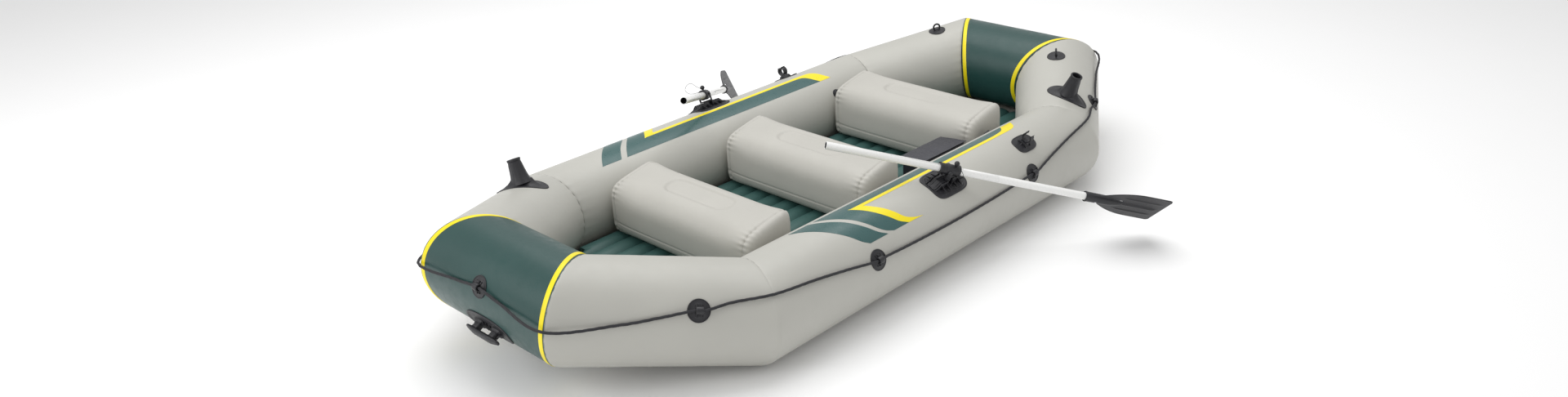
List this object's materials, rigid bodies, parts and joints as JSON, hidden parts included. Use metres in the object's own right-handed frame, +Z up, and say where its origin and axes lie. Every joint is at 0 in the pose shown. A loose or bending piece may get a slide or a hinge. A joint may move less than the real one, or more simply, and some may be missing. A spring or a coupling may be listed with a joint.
{
  "type": "inflatable boat",
  "caption": "Inflatable rowing boat with an octagonal tube hull, air floor, bench seats, grab line, swivelling oarlocks and oars.",
  "frame": {"origin": "middle of the underside of the bottom sheet, on the surface that the boat lies on", "axes": "+Z up, +Y towards the stern, +X to port"},
  "size_m": [2.4551, 3.2281, 0.5442],
  "materials": {
    "grey_vinyl": "semi-matt embossed vinyl",
    "green_vinyl": "semi-matt embossed vinyl",
    "floor_vinyl": "semi-matt embossed vinyl",
    "black_vinyl": "satin vinyl",
    "black_plastic": "satin moulded plastic",
    "white_tube": "satin white coating",
    "steel": "plain",
    "black_cord": "twisted cord",
    "clear_vinyl": "translucent vinyl"
  },
  "bodies": {
    "boat": {"air_floor": "floor_vinyl", "bottom_sheet": "grey_vinyl", "bow_quarter_port": "grey_vinyl", "bow_quarter_starboard": "grey_vinyl", "bow_tube": "green_vinyl", "bulkhead_bow": "grey_vinyl", "bulkhead_stern": "grey_vinyl", "floor_valve": "clear_vinyl", "grab_line": "black_cord", "hull_valve_port": "black_plastic", "hull_valve_starboard": "black_plastic", "oar_clip_port": "black_plastic", "oar_clip_starboard": "black_plastic", "oarlock_base_port": "black_plastic", "oarlock_base_starboard": "black_plastic", "pouch_body": "black_vinyl", "rod_holder_bow": "black_plastic", "rod_holder_stern": "black_plastic", "rope_guide_bow_centre": "black_plastic", "rope_guide_bow_quarter_port": "black_plastic", "rope_guide_bow_quarter_starboard": "black_plastic", "rope_guide_side_front_port": "black_plastic", "rope_guide_side_front_starboard": "black_plastic", "rope_guide_side_rear_port": "black_plastic", "rope_guide_side_rear_starboard": "black_plastic", "rope_guide_stern_centre": "black_plastic", "rope_guide_stern_quarter_port": "black_plastic", "rope_guide_stern_quarter_starboard": "black_plastic", "seat_front": "grey_vinyl", "seat_middle": "grey_vinyl", "seat_rear": "grey_vinyl", "side_tube_port": "grey_vinyl", "side_tube_starboard": "grey_vinyl", "stern_quarter_port": "grey_vinyl", "stern_quarter_starboard": "grey_vinyl", "stern_tube": "green_vinyl", "tie_down_ring_port": "black_plastic", "tie_down_ring_starboard": "black_plastic", "tow_handle": "black_plastic"},
    "yoke_port": {"oarlock_yoke_port": "black_plastic"},
    "oar_port": {"oar_collar_port": "black_plastic", "handle_shaft_port": "white_tube", "blade_shaft_port": "white_tube", "oar_blade_port": "black_plastic", "blade_rivet_port": "steel", "pin_tether_port": "steel"},
    "lock_pin_port": {"lock_pin_port": "black_plastic"},
    "snap_button_port": {"snap_button_port": "steel"},
    "valve_cap_port": {"hull_valve_cap_port": "black_plastic"},
    "yoke_starboard": {"oarlock_yoke_starboard": "black_plastic"},
    "oar_starboard": {"oar_collar_starboard": "black_plastic", "handle_shaft_starboard": "white_tube", "blade_shaft_starboard": "white_tube", "oar_blade_starboard": "black_plastic", "blade_rivet_starboard": "steel", "pin_tether_starboard": "steel"},
    "lock_pin_starboard": {"lock_pin_starboard": "black_plastic"},
    "snap_button_starboard": {"snap_button_starboard": "steel"},
    "valve_cap_starboard": {"hull_valve_cap_starboard": "black_plastic"},
    "pouch_lid": {"pouch_lid": "black_vinyl"}
  },
  "joints": [
    {"name": "oar_swing_port", "type": "hinge", "parent": "boat", "child": "yoke_port", "pos_m": [0.63559, 0.005, 0.33808], "axis": [0.4067, 0, 0.9135], "range_deg": [-89, 11]},
    {"name": "oar_dip_port", "type": "hinge", "parent": "yoke_port", "child": "oar_port", "pos_m": [0.65836, 0.005, 0.38924], "axis": [0.6901, -0.6553, -0.3072], "range_deg": [-12, 12]},
    {"name": "lock_pin_pull_port", "type": "slide", "parent": "oar_port", "child": "lock_pin_port", "axis": [0.4247, 0.0228, 0.9051], "range_m": [0, 0.02]},
    {"name": "snap_button_press_port", "type": "slide", "parent": "oar_port", "child": "snap_button_port", "axis": [0.6901, -0.6553, -0.3072], "range_m": [0, 0.004], "stiffness_N_per_m": 400, "springref_m": -0.003},
    {"name": "valve_cap_turn_port", "type": "hinge", "parent": "boat", "child": "valve_cap_port", "pos_m": [0.41809, 0.61, 0.27572], "axis": [-0.829, 0, 0.5592], "range_deg": [0, 360]},
    {"name": "oar_swing_starboard", "type": "hinge", "parent": "boat", "child": "yoke_starboard", "pos_m": [-0.63559, 0.005, 0.33808], "axis": [0.4067, 0, -0.9135], "range_deg": [-89, 11]},
    {"name": "oar_dip_starboard", "type": "hinge", "parent": "yoke_starboard", "child": "oar_starboard", "pos_m": [-0.65836, 0.005, 0.38924], "axis": [0.6901, 0.6553, 0.3072], "range_deg": [-12, 12]},
    {"name": "lock_pin_pull_starboard", "type": "slide", "parent": "oar_starboard", "child": "lock_pin_starboard", "axis": [-0.4247, 0.0228, 0.9051], "range_m": [0, 0.02]},
    {"name": "snap_button_press_starboard", "type": "slide", "parent": "oar_starboard", "child": "snap_button_starboard", "axis": [-0.6901, -0.6553, -0.3072], "range_m": [0, 0.004], "stiffness_N_per_m": 400, "springref_m": -0.003},
    {"name": "valve_cap_turn_starboard", "type": "hinge", "parent": "boat", "child": "valve_cap_starboard", "pos_m": [-0.41809, 0.61, 0.27572], "axis": [0.829, 0, 0.5592], "range_deg": [0, 360]},
    {"name": "pouch_lid_lift", "type": "hinge", "parent": "boat", "child": "pouch_lid", "pos_m": [0.385, 0.36, 0.277], "axis": [0, 1, 0], "range_deg": [0, 75]}
  ]
}
